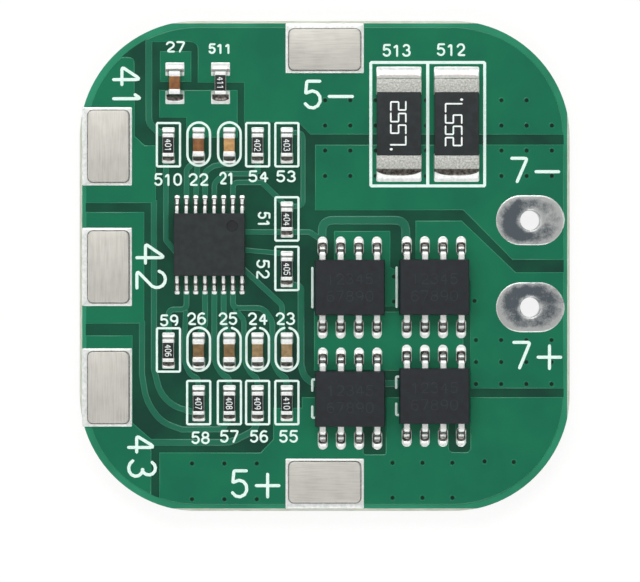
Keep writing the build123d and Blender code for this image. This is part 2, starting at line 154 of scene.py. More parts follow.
def edgeSteps(edge):
    # insets and rises of a rounded upper edge
    for angle in (0, 30, 60, 90):
        turn = math.radians(angle)
        yield edge * (1 - math.cos(turn)), edge * (math.sin(turn) - 1)


def addBlock(shape, x, y, sx, sy, low, high, edge, corner, mark=0, foot=0.0):
    # an upright block whose upper edge is rounded, and its lower edge too if foot is given
    rings = [insetRing(x, y, sx, sy, foot, corner, low)] if foot else []
    rings.append(roundedRing(x, y, sx, sy, corner, low + foot))
    for inset, rise in edgeSteps(edge):
        rings.append(insetRing(x, y, sx, sy, inset, max(corner - inset, 0.005), high + rise))
    addLoft(shape, rings, mark)


def rounded(points, radius, closed=False, steps=6):
    # a line of points with arcs at its bends; a point may bring its own radius as a third number
    line = []
    count = len(points)
    for index, point in enumerate(points):
        here = Vector(point[:2])
        bend = point[2] if len(point) > 2 else radius
        if not bend or (not closed and index in (0, count - 1)):
            line.append((here.x, here.y))
            continue
        before = Vector(points[index - 1][:2]) - here
        after = Vector(points[(index + 1) % count][:2]) - here
        turn = before.angle(after)
        if turn > 2.7:  # hardly a bend
            line.append((here.x, here.y))
            continue
        reach = min(bend / math.tan(turn / 2), before.length * 0.49, after.length * 0.49)
        start, end = here + before.normalized() * reach, here + after.normalized() * reach
        for step in range(steps + 1):
            t = step / steps
            point = start * (1 - t) ** 2 + here * 2 * t * (1 - t) + end * t ** 2
            line.append((point.x, point.y))
    return line


def strip(line, width):
    # the outline of a strip of even width along a line
    points = [Vector(point) for point in line]
    runs = [(b - a).normalized() for a, b in zip(points, points[1:])]
    sides = [Vector((-run.y, run.x)) for run in runs]
    pairs = zip([sides[0]] + sides, sides + [sides[-1]])
    mitres = [(a + b) * (width / 2 / (1 + a.dot(b))) for a, b in pairs]
    left = [point + mitre for point, mitre in zip(points, mitres)]
    right = [point - mitre for point, mitre in zip(points, mitres)]
    return [(point.x, point.y) for point in left + right[::-1]]


def boardOutline(setback, side):
    # the board's rounded square, cut off at the given half side
    half = board["half"] - setback
    radius = board["cornerRadius"] - setback
    ring = flatRing(0, 0, 2 * half, 2 * half, radius, 0, 24)
    return clipped(ring, [(-side, -side), (side, -side), (side, side), (-side, side)])


def clipped(outline, keeper):
    # the part of an outline inside a keeper that turns anticlockwise and has no hollow
    for start, end in zip(keeper, keeper[1:] + keeper[:1]):
        edge = Vector(end) - Vector(start)
        inside = [edge.x * (y - start[1]) - edge.y * (x - start[0]) for x, y in outline]
        kept = []
        for index, point in enumerate(outline):
            before, now = inside[index - 1], inside[index]
            if (before < 0) != (now < 0):
                share = before / (before - now)
                last = outline[index - 1]
                kept.append((last[0] + (point[0] - last[0]) * share, last[1] + (point[1] - last[1]) * share))
            if now >= 0:
                kept.append(point)
        outline = kept
    return outline


def lineCurve(dimensions, lines, closed):
    # a curve of straight runs; a point may bring its share of the bevel as a third number
    curve = bpy.data.curves.new("line", "CURVE")
    curve.dimensions = dimensions
    curve.bevel_resolution = 2
    for line in lines:
        spline = curve.splines.new("POLY")
        spline.points.add(len(line) - 1)
        for point, (x, y, *share) in zip(spline.points, line):
            point.co = (x * mm, y * mm, 0, 1)
            point.radius = share[0] if share else 1.0
        spline.use_cyclic_u = closed
    return curve


def curveMesh(curve):
    carrier = bpy.data.objects.new("carrier", curve)
    bpy.context.scene.collection.objects.link(carrier)
    bpy.context.view_layer.update()
    mesh = bpy.data.meshes.new_from_object(carrier.evaluated_get(bpy.context.evaluated_depsgraph_get()))
    bpy.data.objects.remove(carrier)
    return mesh


def fillFlat(outlines, low, high, shoulder=0.0):
    # a plate between two heights, with an even-odd fill, as a mesh in metres
    curve = lineCurve("2D", outlines, True)
    curve.fill_mode = "BOTH"
    curve.extrude = max(0, (high - low) / 2 - shoulder) * mm
    curve.bevel_depth = shoulder * mm
    curve.offset = -shoulder * mm
    mesh = curveMesh(curve)
    for vertex in mesh.vertices:
        vertex.co.z += (low + high) / 2 * mm
    return mesh


def joined(name, meshes, materials, replaced=(), smoothAngle=35):
    # meshes as one piece, each with its number in the list of materials
    shape = newShape()
    for mark, mesh in meshes:
        first = len(shape["points"])
        shape["points"] += [tuple(vertex.co / mm) for vertex in mesh.vertices]
        shape["faces"] += [tuple(first + index for index in face.vertices) for face in mesh.polygons]
        shape["marks"] += [mark] * len(mesh.polygons)
        bpy.data.meshes.remove(mesh)
    return finishShape(shape, name, materials, replaced, smoothAngle)


# Small makers of materials

def linear(colour):
    # sRGB hex to the linear numbers that shaders use
    values = [int(colour[index:index + 2], 16) / 255 for index in (1, 3, 5)]
    return [v / 12.92 if v <= 0.04045 else ((v + 0.055) / 1.055) ** 2.4 for v in values] + [1]


def shader(material):
    return material.node_tree.nodes["Principled BSDF"]


def newMaterial(name, roughness, metallic=0.0):
    material = bpy.data.materials.new(name)
    material.use_nodes = True
    shader(material).inputs["Roughness"].default_value = roughness
    shader(material).inputs["Metallic"].default_value = metallic
    return material


def addNode(material, kind, settings=None, links=None):
    # capital or numbered names are sockets, the others are the node's own settings
    node = material.node_tree.nodes.new("ShaderNode" + kind)
    settings, links = settings or {}, links or {}
    for name, value in settings.items():
        if isinstance(name, int) or name in node.inputs:
            node.inputs[name].default_value = value
        else:
            setattr(node, name, value)
    for name, (source, output) in links.items():
        material.node_tree.links.new(source.outputs[output], node.inputs[name])
    return node


def link(material, source, output, target, name):
    material.node_tree.links.new(source.outputs[output], target.inputs[name])


def twoTone(material, source, output, low, high, ends):
    # base colour from low to high, as a value goes from one end to the other
    ramp = addNode(material, "ValToRGB", {}, {"Fac": (source, output)})
    for element, end, colour in zip(ramp.color_ramp.elements, ends, (low, high)):
        element.position = end
        element.color = linear(colour)
    link(material, ramp, "Color", shader(material), "Base Color")
    return ramp


def speckle(material, size, low, high, detail=3.0, stretch=(1, 1, 1), ends=(0.35, 0.65)):
    # base colour that wanders between two colours over patches of a real size in millimetres
    where = addNode(material, "TexCoord")
    spread = addNode(material, "Mapping", {"Scale": stretch}, {"Vector": (where, "Object")})
    noise = addNode(
        material, "TexNoise", {"Scale": 1 / (size * mm), "Detail": detail},
        {"Vector": (spread, "Vector")},
    )
    return where, twoTone(material, noise, "Fac", low, high, ends)


def relief(material, source, output, height):
    # bump of a real height in millimetres
    settings = {"Strength": 1.0, "Distance": height * mm}
    bump = addNode(material, "Bump", settings, {"Height": (source, output)})
    link(material, bump, "Normal", shader(material), "Normal")


def grain(material, where, size, height, detail=2.0):
    noise = addNode(
        material, "TexNoise", {"Scale": 1 / (size * mm), "Detail": detail},
        {"Vector": (where, "Object")},
    )
    relief(material, noise, "Fac", height)


def mottled(name, finish, patch, low, high, skin, skinDetail=2.0, **more):
    # finish is roughness and metallic, patch a size, and skin the size and height of its grain
    material = newMaterial(name, *finish)
    where = speckle(material, patch, low, high, **more)[0]
    grain(material, where, *skin, skinDetail)
    return material


def curtainMask(name, low, high, edge):
    # Photoimaged solder mask, curtain coated: glossy green with a faint orange peel, and a brighter
    # colour on every sloped face, where it thins out over the shoulder of a copper edge and where a painted
    # highlight stands in for light on that shoulder.
    material = newMaterial(name, 0.28)
    where, ramp = speckle(material, 3.5, low, high)
    grain(material, where, 0.35, 0.0012)
    # painted highlight and thinner mask: a sloped face takes the edge colour
    shape = addNode(material, "NewGeometry")
    split = addNode(material, "SeparateXYZ", {}, {"Vector": (shape, "True Normal")})
    slope = addNode(
        material, "MapRange", {"From Min": 0.97, "From Max": 0.5}, {"Value": (split, "Z")}
    )
    mix = addNode(
        material, "Mix", {"data_type": "RGBA", 7: linear(edge)},
        {0: (slope, "Result"), 6: (ramp, "Color")},
    )
    link(material, mix, 2, shader(material), "Base Color")
    return material


def levelledTin():
    # Tin solder, dipped and levelled: a bright rim round a dull blue grey film, mottled where they meet,
    # and painted light that makes one side of the film brighter.
    material = newMaterial("levelledTin", 0.42, 1.0)
    where = addNode(material, "TexCoord")
    patches = addNode(
        material, "TexNoise", {"Scale": 1 / (0.7 * mm), "Detail": 8.0, "Roughness": 0.7},
        {"Vector": (where, "Object")},
    )
    bright = addNode(material, "Attribute", {"attribute_name": "bright"})
    specks = addNode(
        material, "TexNoise", {"Scale": 1 / (0.09 * mm), "Detail": 3.0},
        {"Vector": (where, "Object")},
    )
    mottle = addNode(
        material, "Math", {"operation": "MULTIPLY_ADD", 1: 0.3},
        {0: (specks, "Fac"), 2: (patches, "Fac")},
    )
    total = addNode(
        material, "Math", {"operation": "ADD"}, {0: (mottle, "Value"), 1: (bright, "Fac")}
    )
    twoTone(material, total, "Value", "#6A7379", "#CFD1CF", (0.62, 0.96))
    grain(material, where, 0.12, 0.006, 5.0)
    return material


def rolledNickel(name, stretch):
    # Pure nickel strip, rolled: warm pale grey with fine straight rolling lines and faint clouds.
    material = newMaterial(name, 0.55, 1.0)
    where = addNode(material, "TexCoord")
    spread = addNode(material, "Mapping", {"Scale": stretch}, {"Vector": (where, "Object")})
    lines = addNode(
        material, "TexNoise", {"Scale": 1 / (0.11 * mm), "Detail": 4.0, "Roughness": 0.6},
        {"Vector": (spread, "Vector")},
    )
    clouds = addNode(
        material, "TexNoise", {"Scale": 1 / (1.1 * mm), "Detail": 4.0},
        {"Vector": (where, "Object")},
    )
    both = addNode(
        material, "Math", {"operation": "MULTIPLY_ADD", 1: 0.5},
        {0: (clouds, "Fac"), 2: (lines, "Fac")},
    )
    twoTone(material, both, "Value", "#C4C1BA", "#D6D3CC", (0.5, 0.85))
    relief(material, lines, "Fac", 0.003)
    return material


def mouldedEpoxy(name, low, high):
    # Epoxy moulding compound, transfer moulded: near black, matt and finely pitted by the mould.
    return mottled(name, (0.68, 0), 0.5, low, high, (0.07, 0.006), 4.0, detail=5.0)


def capacitorCeramic(name, low, high):
    # Barium titanate ceramic, sintered: tan to brown from part to part, with a fine grain.
    return mottled(name, (0.5, 0), 0.3, low, high, (0.06, 0.004))


# the last colour of each mask is for its sloped faces: thinner mask there, and a painted highlight
maskOverCopper = curtainMask("maskOverCopper", "#00674A", "#04704E", "#37A079")
maskOverTracks = curtainMask("maskOverTracks", "#13624A", "#1A6C51", "#46967A")
maskOverLaminate = curtainMask("maskOverLaminate", "#003B2C", "#005038", "#0F5F48")
maskInPits = curtainMask("maskInPits", "#001A10", "#002818", "#003A28")
maskAtMargin = curtainMask("maskAtMargin", "#1D7B5A", "#278C69", "#4BAA84")
maskBelow = curtainMask("maskBelow", "#06684A", "#0A6F4E", "#2D8763")

# Glass epoxy laminate, routed and snapped: pale straw with thin layers of glass cloth at its edge
laminateMaterial = mottled(
    "wovenLaminate", (0.62, 0), 0.8, "#BFC5B0", "#DCE1D4", (0.12, 0.012), detail=6.0, stretch=(1, 1, 9),
    ends=(0.38, 0.62),
)
# Tin solder, reflowed: bright where it lies level, with a faint crystal grain that dulls it
solderMaterial = mottled("reflowSolder", (0.5, 1), 0.25, "#E2E6E3", "#F6F8F6", (0.12, 0.004))
# Tin solder with painted shade, a dark brown grey: the hollow beside a foot or an end cap
darkShadeMaterial = mottled("darkShadePaintedSolder", (0.28, 1), 0.2, "#3F3A34", "#7C7873", (0.1, 0.004))
# Tin solder with painted shade where a fillet turns upright to the cap it wets: mid grey there and pale grey
# below
shadedMaterial = mottled("shadePaintedSolder", (0.4, 1), 0.15, "#8A8A87", "#B6B6B3", (0.1, 0.004))
paleShadeMaterial = mottled("shadePaintedSolderPale", (0.4, 1), 0.15, "#D2CECB", "#E2DEDB", (0.1, 0.004))
jointMaterials = [solderMaterial, darkShadeMaterial, shadedMaterial, paleShadeMaterial]
terminalMaterial = levelledTin()
nickelUpright = rolledNickel("nickelUpright", (1, 0.05, 1))
nickelLevel = rolledNickel("nickelLevel", (0.05, 1, 1))
packageMaterial = mouldedEpoxy("mouldedEpoxy", "#070D14", "#111920")
chipMaterial = mouldedEpoxy("mouldedEpoxyPale", "#141C1E", "#1D2628")
dimpleMaterial = mouldedEpoxy("mouldedEpoxyPolished", "#0B1012", "#11171A")
faintMaterial = mouldedEpoxy("laserMark", "#171E24", "#20272E")
shuntMaterial = mouldedEpoxy("shuntCoat", "#12181B", "#1C2326")
# Lead glass overglaze, fired: smooth black with a soft shine
glazeMaterial = mottled("overglaze", (0.4, 0), 0.4, "#0E1214", "#1A1F22", (0.1, 0.003))
# Alumina ceramic, fired: chalk white and dull
aluminaMaterial = mottled("firedAlumina", (0.6, 0), 0.2, "#CFD0CB", "#E6E7E3", (0.05, 0.003))
paleCeramic = capacitorCeramic("paleCeramic", "#A97C45", "#C39A63")
duskCeramic = capacitorCeramic("duskCeramic", "#6A5230", "#84683D")
greyCeramic = capacitorCeramic("greyCeramic", "#7E6844", "#9A8059")
darkCeramic = capacitorCeramic("darkCeramic", "#75471F", "#91602F")
# Matt tin plate over nickel: pale grey metal with a fine even grain
platingMaterial = mottled("tinPlate", (0.58, 1), 0.12, "#ECEEEC", "#FCFDFB", (0.06, 0.004))
# Matt tin plate where a lead was bent down, dark grey with painted shade and a painted reflection of the dark
# package beside it
riserShadeMaterial = mottled("shadePaintedRiserTin", (0.4, 1), 0.1, "#5C5D5C", "#8F908F", (0.06, 0.004))
# Printed silver end band under thin tin: dull grey white and coarse as the print left it
bandMaterial = mottled(
    "silverBand", (0.6, 1), 0.13, "#A3A49E", "#DEDFD9", (0.1, 0.012), 4.0, detail=4.0, ends=(0.3, 0.7)
)
# Epoxy ink, screen printed: dull white, a little uneven in cover
inkMaterial = mottled("legendInk", (0.6, 0), 0.35, "#CDEBE0", "#E3F8F0", (0.1, 0.004), ends=(0.2, 0.5))
markMaterial = mottled("markingInk", (0.6, 0), 0.35, "#CDEBE0", "#F2F6F4", (0.1, 0.004), ends=(0.2, 0.5))
# Copper foil, etched: warm and bright under the mask
copperMaterial = mottled("etchedCopper", (0.35, 1), 0.5, "#A8663F", "#C98560", (0.1, 0.003))
print("materials made")


# Laminate and the lower mask

def dress(node, material):
    piece = nodes[node]
    piece.data.materials.clear()
    piece.data.materials.append(material)


dress("laminate", laminateMaterial)
dress("bottom_solder_mask", maskBelow)


# Upper solder mask, raised over the copper

layout = {
    "negative": [
        (17.4, 9.2), (17.4, 17.4), (-12.53, 17.4), (-12.53, 15.7), (-8.9, 15.7, 0.6), (-8.9, 12.85),
        (-5.65, 12.85), (-5.65, 10.05), (-1.85, 10.05), (-1.0, 9.2),
    ],
    "upperPair": [(-11.55, 12.9), (-9.35, 12.9), (-9.35, 15.05), (-11.55, 15.05)],
    "bridge": [(-11.6, 12.33), (-11.6, 10.4), (-9.7, 10.4), (-9.7, 9.0), (-6.1, 9.0), (-6.1, 12.33)],
    "tapOne": [
        (-17.4, 4.4), (-11.83, 4.4), (-11.83, 8.45), (-12.6, 8.45), (-13.32, 9.1), (-13.32, 14.65, 0.5),
        (-17.4, 14.65),
    ],
    "tapTwo": [(-17.4, -4.05), (-12.65, -4.05), (-12.65, 3.78), (-17.4, 3.78)],
    "tapThree": [
        (-17.4, -4.87), (-17.4, -17.4), (-12.15, -17.4), (-12.15, -12.15), (-13.47, -11.0), (-13.47, -4.87),
    ],
    "outputMinus": [
        (-0.68, 3.9), (9.7, 3.9), (13.15, 0.42), (17.4, 0.42), (17.4, 8.5), (-0.68, 8.5),
    ],
    "outputPlus": [
        (6.36, 3.18), (6.36, -1.0), (10.2, -1.0), (10.2, -8.6), (17.4, -8.6), (17.4, -0.45), (13.4, -0.45),
        (9.6, 3.18),
    ],
    "positive": [
        (-11.6, -17.4), (17.4, -17.4), (17.4, -9.2), (10.2, -9.2), (10.2, -13.05, 0.35), (8.7, -13.05, 0.35),
        (8.7, -9.2), (4.27, -9.2), (4.27, -13.2, 0.15), (2.72, -13.2, 0.15), (2.72, -9.2), (-1.6, -9.2),
        (-1.6, -9.95), (-3.62, -9.95), (-3.62, -12.15), (-4.5, -13.08), (-11.6, -13.08),
    ],
    "firstDrain": [(0.65, 2.45), (0.65, -2.85), (5.1, -2.85), (5.1, -0.35), (4.6, -0.1), (4.6, 2.45)],
    "shared": [(-0.75, -3.2), (-0.75, -7.35), (9.72, -7.35), (9.72, -3.2)],
}
# each track is its width and then the points of its middle line, each with the radius of its bend
tracks = [
    [0.42, (-12.33, 15.9), (-12.33, 10.0, 0.9), (-11.6, 9.35, 0.4), (-10.95, 9.35)],
    [0.37, (-11.97, 4.6), (-11.97, -7.2, 5), (-11.55, -8.9, 5), (-10.6, -9.85, 5), (-8.83, -10.35)],
    [
        0.37, (-12.81, -3.85), (-12.81, -7.6, 5), (-12.5, -9.5, 5), (-11.45, -10.95, 5), (-10.0, -11.47, 5),
        (-7.2, -11.45, 0.4), (-6.68, -10.7),
    ],
    [0.42, (-12.3, -12.37), (-6.6, -12.37, 2.0), (-4.95, -11.55, 0.5), (-4.7, -10.7)],
    [0.33, (-11.13, 7.6), (-11.13, 1.8, 0.3), (-10.2, 0.7)],
    [0.33, (-9.685, 4.7), (-9.685, 6.8, 0.5), (-8.9, 7.5)],
    [0.33, (-9.035, 4.7), (-8.9, 7.5)],
    [0.33, (-8.385, 4.7), (-8.385, 6.6, 0.5), (-7.8, 7.0, 0.5), (-6.68, 7.2)],
    [0.33, (-7.735, 4.7), (-7.735, 5.8, 0.6), (-7.0, 6.46, 0.4), (-4.7, 6.46)],
    [0.33, (-4.7, 6.46), (-4.7, 7.4)],
    [0.33, (-6.435, 4.7), (-6.435, 5.85, 0.4), (-4.4, 5.85, 0.3), (-2.9, 4.4)],
    [0.3, (-2.65, 9.35), (-1.52, 9.35, 0.5), (-1.52, 4.25, 0.4), (-2.65, 4.1)],
    [0.33, (-6.6, 2.38), (-1.05, 2.38, 0.5), (-0.2, 1.8)],
    [0.3, (-6.6, 1.2), (-2.65, 0.85)],
    [0.33, (-6.2, 0.25), (-2.98, -2.75, 0.5), (-2.98, -4.9)],
    [0.55, (-0.18, 1.6), (-0.18, 3.2, 1.05), (5.68, 3.2, 1.05), (5.68, 1.6)],
    [
        0.42, (-2.65, -1.2), (-1.66, -1.5, 0.3), (-1.66, -6.9, 2), (-1.45, -7.75, 2), (-0.8, -8.25, 2),
        (9.4, -8.25),
    ],
    [0.42, (3.62, -8.25), (3.62, -11.9)],
    [0.42, (9.4, -8.04), (9.4, -11.9)],
    [0.35, (-9.685, -1.6), (-9.685, -3.05, 0.4), (-10.93, -3.05, 0.4), (-10.93, -4.9)],
    [0.3, (-9.75, -3.1), (-9.87, -6.7, 2), (-9.4, -7.65, 2), (-8.9, -7.85, 0.3), (-8.83, -8.6)],
    [0.35, (-8.385, -1.6), (-8.385, -4.1, 0.5), (-8.83, -4.9)],
    [0.35, (-7.735, -1.6), (-7.735, -6.7, 2), (-7.2, -7.6, 2), (-6.75, -7.85, 0.3), (-6.68, -8.5)],
    [0.35, (-7.085, -1.6), (-7.085, -3.9, 0.5), (-6.68, -4.9)],
    [
        0.35, (-6.435, -1.6), (-6.435, -2.95, 0.4), (-4.3, -2.95, 0.9), (-3.67, -3.9, 0.9), (-3.67, -6.7, 2),
        (-3.15, -7.6, 2), (-2.72, -7.85, 0.3), (-2.65, -8.5),
    ],
    [
        0.3, (-6.3, -3.0), (-5.66, -3.8, 0.6), (-5.66, -6.7, 2), (-5.15, -7.6, 2), (-4.75, -7.85, 0.3),
        (-4.7, -8.5),
    ],
]


def upperMask():
    side = board["half"] - board["scoreWidth"]
    inner = boardOutline(board["copperSetback"], side)
    outer = boardOutline(0, side)
    holes = {}
    for name, node in (("outputMinus", "output_minus_terminal"), ("outputPlus", "output_plus_terminal")):
        holes[name] = flatRing(*middleOf(node), 1.8, 1.8, 0.9, 0, 8)
    low, bare, raised = board["laminateTop"], board["bareMaskTop"], board["copperMaskTop"]
    slope, buried = board["maskShoulder"], 2 * bare - raised
    foilEdge = 0.02
    foilTop = board["copperTop"] - foilEdge
    trackDrop = 0.003  # keeps a track's faces apart from those of a pour that it meets
    meshes = [
        (0, fillFlat([outer, inner], low, bare)),
        (1, fillFlat([inner, *holes.values()], low, bare)),
    ]
    foil = []
    for name, outline in layout.items():
        outlines = [clipped(rounded(outline, 0, closed=True), inner)]
        if name in holes:
            outlines.append(holes[name])
        meshes.append((2, fillFlat(outlines, buried, raised, slope)))
        foil.append((0, fillFlat(outlines, low, foilTop, foilEdge)))
    for width, *points in tracks:
        line = rounded(points, 0)
        meshes.append((3, fillFlat([strip(line, width + slope)], buried, raised - trackDrop, slope)))
        foil.append((0, fillFlat([strip(line, width)], low, foilTop - trackDrop, foilEdge)))
    joined("upperCopper", foil, [copperMaterial], ["top_copper"])
    coats = [maskAtMargin, maskOverLaminate, maskOverCopper, maskOverTracks]
    joined("upperSolderMask", meshes, coats, ["top_solder_mask"], smoothAngle=40)


upperMask()
print("upper mask made")


# Vias, small plated holes that the mask has run into

vias = {
    # each field is its first column, the step between columns, the columns it has and its lines
    "fields": (
        (0.03, 1.765, (0, 1, 2, 4, 7, 8, 9), (11.6, 9.83, 8.08, 6.3)),
        (10.6, 1.765, range(4), (-5.2, -6.74, -8.28)),
        (-9.3, 2.27, range(3), (-13.85, -16.35)),
        (4.75, 2.1, range(3), (-13.8, -16.25)),
    ),
    "leftOut": (9, 11.6),  # column and line
    "single": [(11.2, -13.7), (13.25, -13.75), (4.85, -0.75), (4.85, -2.5), (10.5, -2.45)],
    # radius and rise of the rings of a pit, and how many of them are its lip
    "rings": ((0.24, -0.01), (0.21, 0.006), (0.17, 0.008), (0.14, 0.004), (0.06, 0.002)),
    "lip": 4,
}


def viaPits():
    shape = newShape()
    top, lip = board["copperMaskTop"], vias["lip"]
    places = [
        (start + column * step, y)
        for start, step, columns, lines in vias["fields"]
        for column in columns
        for y in lines
        if (column, y) != vias["leftOut"]
    ]
    for x, y in places + vias["single"]:
        rings = [circle(x, y, radius, top + rise, 3) for radius, rise in vias["rings"]]
        addLoft(shape, rings[:lip], capped=False)
        addLoft(shape, rings[lip - 1:], 1, capped=False)
        addCap(shape, rings[-1], 1)
    finishShape(shape, "viaPits", [maskOverCopper, maskInPits])


viaPits()


# Legend: outlines and plain numbers

legend = {
    "stroke": 0.165, "frameStroke": 0.22, "smallStroke": 0.14, "bigStroke": 0.22,
    "rise": 0.018, "edge": 0.012, "sink": 0.01, "corner": 0.06,
    # frames: width and length of the straight ones, radius and half length of the round ones
    "resistor": (1.62, 3.04), "resistorUp": 0.04,
    "capacitor": (0.79, 0.72), "capacitorUp": 0.09, "missed": 13,  # degrees that some prints miss
    "shunts": (7.98, 8.65), "divider": 8.64,
    # bars beside the transistors
    "barLeft": 2.61, "barHalf": 1.375, "hookFar": 1.34, "hookNear": 0.56, "hookIn": 0.16, "hookOut": 0.03,
    "hookBend": 0.12,
}


def arc(cx, cy, rx, ry, start, end, steps=8):
    return [
        (
            cx + rx * math.cos(math.radians(start + (end - start) * step / steps)),
            cy + ry * math.sin(math.radians(start + (end - start) * step / steps)),
        )
        for step in range(steps + 1)
    ]


# strokes of each sign in a box one unit wide and one high
signs = {
    "0": [arc(0.5, 0.62, 0.5, 0.38, 0, 180) + arc(0.5, 0.38, 0.5, 0.38, 180, 360) + [(1, 0.62)]],
    "1": [[(0.15, 0.78), (0.55, 1), (0.55, 0)]],
    "2": [arc(0.5, 0.7, 0.48, 0.3, 165, -35) + [(0, 0), (1, 0)]],
    "3": [arc(0.46, 0.75, 0.42, 0.25, 150, -80) + arc(0.46, 0.27, 0.5, 0.27, 80, -155)],
    "4": [[(0.72, 0), (0.72, 1), (0, 0.3), (1, 0.3)]],
    "5": [[(0.92, 1), (0.12, 1), (0.05, 0.55)] + arc(0.46, 0.32, 0.5, 0.32, 125, -150)],
    "6": [
        [(0.82, 0.95), (0.5, 1)] + arc(0.5, 0.5, 0.5, 0.48, 120, 190)
        + arc(0.5, 0.3, 0.48, 0.3, 200, 540, 12),
    ],
    "7": [[(0, 1), (1, 1), (0.35, 0)]],
    "8": [arc(0.5, 0.76, 0.42, 0.24, -90, 270, 12), arc(0.5, 0.27, 0.5, 0.27, 90, 450, 12)],
    "9": [arc(0.5, 0.7, 0.48, 0.3, -20, -340, 12) + arc(0.5, 0.5, 0.49, 0.5, 10, -60)],
    "-": [[(0, 0.5), (1, 0.5)]],
    "+": [[(0, 0.5), (1, 0.5)], [(0.5, 0), (0.5, 1)]],
}
squareSigns = {
    "2": [[(0, 1), (1, 1), (1, 0.52), (0, 0.52), (0, 0), (1, 0)]],
    "5": [[(1, 1), (0, 1), (0, 0.52), (1, 0.52), (1, 0), (0, 0)]],
    "7": [[(0, 1), (1, 1), (1, 0)]],
}


def textStrokes(text, x0, x1, y0, y1, turn=0, gap=0.3, style=signs, edge=0.0):
    # the strokes of a number that fills a box, read level, downwards (-90) or upwards (90)
    x0, x1, y0, y1 = x0 + edge, x1 - edge, y0 + edge, y1 - edge
    along, up = (x1 - x0, y1 - y0) if turn == 0 else (y1 - y0, x1 - x0)
    step = along / (len(text) - gap)
    strokes = []
    for index, sign in enumerate(text):
        for stroke in style[sign]:
            line = []
            for u, v in stroke:
                reach, height = (index + u * (1 - gap)) * step, v * up
                if turn == 0:
                    line.append((x0 + reach, y0 + height))
                elif turn < 0:
                    line.append((x0 + height, y1 - reach))
                else:
                    line.append((x1 - height, y0 + reach))
            strokes.append(line)
    return strokes


def roundEnd(line, width):
    # two more points with falling radii, which round off the end of a stroke
    last, before = Vector(line[-1][:2]), Vector(line[-2][:2])
    run = (last - before).normalized() * width / 2
    return line + [(*(last + run * 0.6), 0.8), (*(last + run), 0.2)]


def inkPiece(name, material, *meshes):
    joined(name, [(0, mesh) for mesh in meshes], [material], smoothAngle=60)


def inkMesh(strokes, width, base, top, closed=False):
    # raised lines of ink: their undersides reach down to the base
    if not closed:
        lines = [rounded(stroke, width * 0.5, steps=3) for stroke in strokes]
        strokes = [roundEnd(roundEnd(line, width)[::-1], width) for line in lines]
    curve = lineCurve("3D", strokes, closed)
    curve.bevel_depth = width / 2 * mm
    curve.use_fill_caps = True
    mesh = curveMesh(curve)
    edge = top - legend["edge"]
    for vertex in mesh.vertices:
        share = vertex.co.z / (width / 2 * mm)
        if share >= 0:
            vertex.co.z = (edge + legend["edge"] * math.sqrt(share)) * mm
        else:
            vertex.co.z = (edge + share * (edge - base)) * mm
    return mesh


smallLabels = [
    ("27", -11.15, -9.75, 14.95, 15.75),
    ("511", -8.15, -6.5, 14.85, 15.6),
    ("513", 4.05, 6.05, 14.65, 15.55),
    ("512", 7.85, 9.85, 14.7, 15.6),
    ("510", -11.95, -10.0, 5.6, 6.5),
    ("22", -9.55, -8.15, 5.6, 6.5),
    ("21", -7.4, -6.3, 5.7, 6.6),
    ("54", -5.35, -3.95, 5.85, 6.7),
    ("53", -3.4, -2.0, 5.85, 6.7),
    ("51", -4.7, -3.8, 2.7, 3.8, -90),
    ("52", -4.8, -3.85, -0.9, 0.45, -90),
    ("59", -11.55, -10.25, -4.25, -3.4),
    ("26", -9.65, -8.3, -4.15, -3.25),
    ("25", -7.45, -6.1, -4.15, -3.25),
    ("24", -5.4, -4.0, -4.15, -3.25),
    ("23", -3.45, -2.05, -4.15, -3.25),
    ("58", -9.35, -8.05, -12.5, -11.6),
    ("57", -7.35, -6.0, -12.4, -11.5),
    ("56", -5.25, -3.95, -12.4, -11.5),
    ("55", -3.2, -1.85, -12.4, -11.5),
]
bigLabels = [
    ("4", -14.9, -12.75, 12.6, 14.05, -90),
    ("1", -14.9, -12.75, 11.3, 12.2, -90),
    ("4", -13.27, -11.05, 0.09, 1.65, -90),
    ("2", -13.27, -11.05, -1.66, -0.22, -90),
    ("4", -13.85, -11.75, -13.15, -11.8, -90),
    ("3", -13.85, -11.75, -14.9, -13.55, -90),
    ("5", -1.5, -0.15, 10.95, 13.05),
    ("-", 0.2, 2.05, 11.77, 11.97),
    ("5", -6.6, -5.3, -16.3, -14.25),
    ("+", -4.9, -3.1, -16.3, -14.5),
    ("7", 13.0, 14.3, 5.8, 7.65),
    ("-", 14.7, 16.5, 6.5, 6.7),
    ("7", 13.15, 14.5, -7.25, -5.25),
    ("+", 14.85, 16.65, -7.3, -5.5),
]


